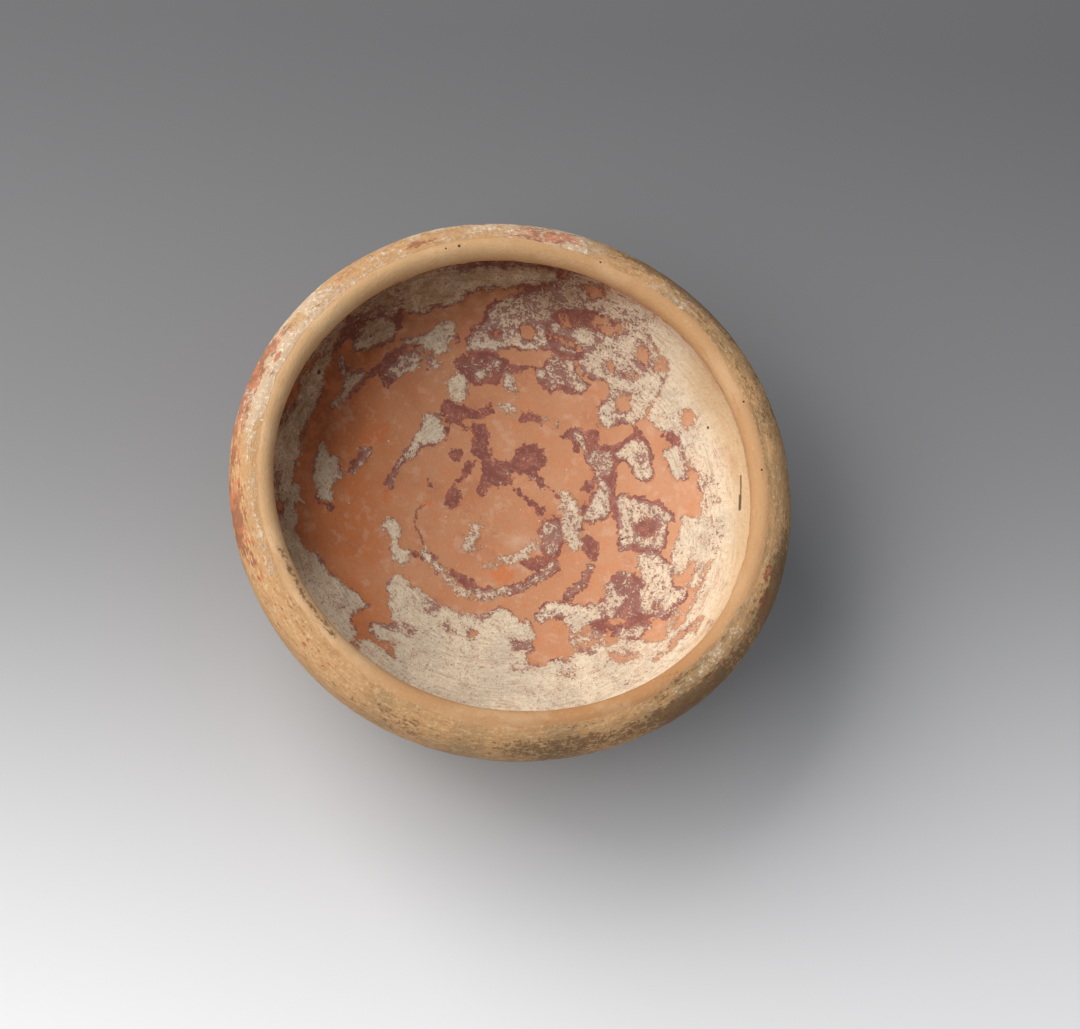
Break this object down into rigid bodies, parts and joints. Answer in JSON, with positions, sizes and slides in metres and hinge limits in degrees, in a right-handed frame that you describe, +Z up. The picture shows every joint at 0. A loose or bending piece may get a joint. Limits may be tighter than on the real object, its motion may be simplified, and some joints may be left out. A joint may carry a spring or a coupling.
{
  "type": "ceramic bowl",
  "caption": "Round earthenware bowl with an incurved lip and a low foot ring, painted inside in worn rings under a pale lime crust; holds food or liquid.",
  "frame": {"origin": "on the bowl's axis, level with the underside of the foot ring", "axes": "+Z up along the axis, out of the mouth; -Y is the side nearest the camera in the picture, and +X is to its right"},
  "size_m": [0.1304, 0.1299, 0.0478],
  "materials": {
    "earthenware": "matt fired orange clay with a tan lip, worn red-brown slip bands, and a pale lime crust in patches"
  },
  "bodies": {
    "root": {"bowl": "earthenware"}
  },
  "joints": []
}
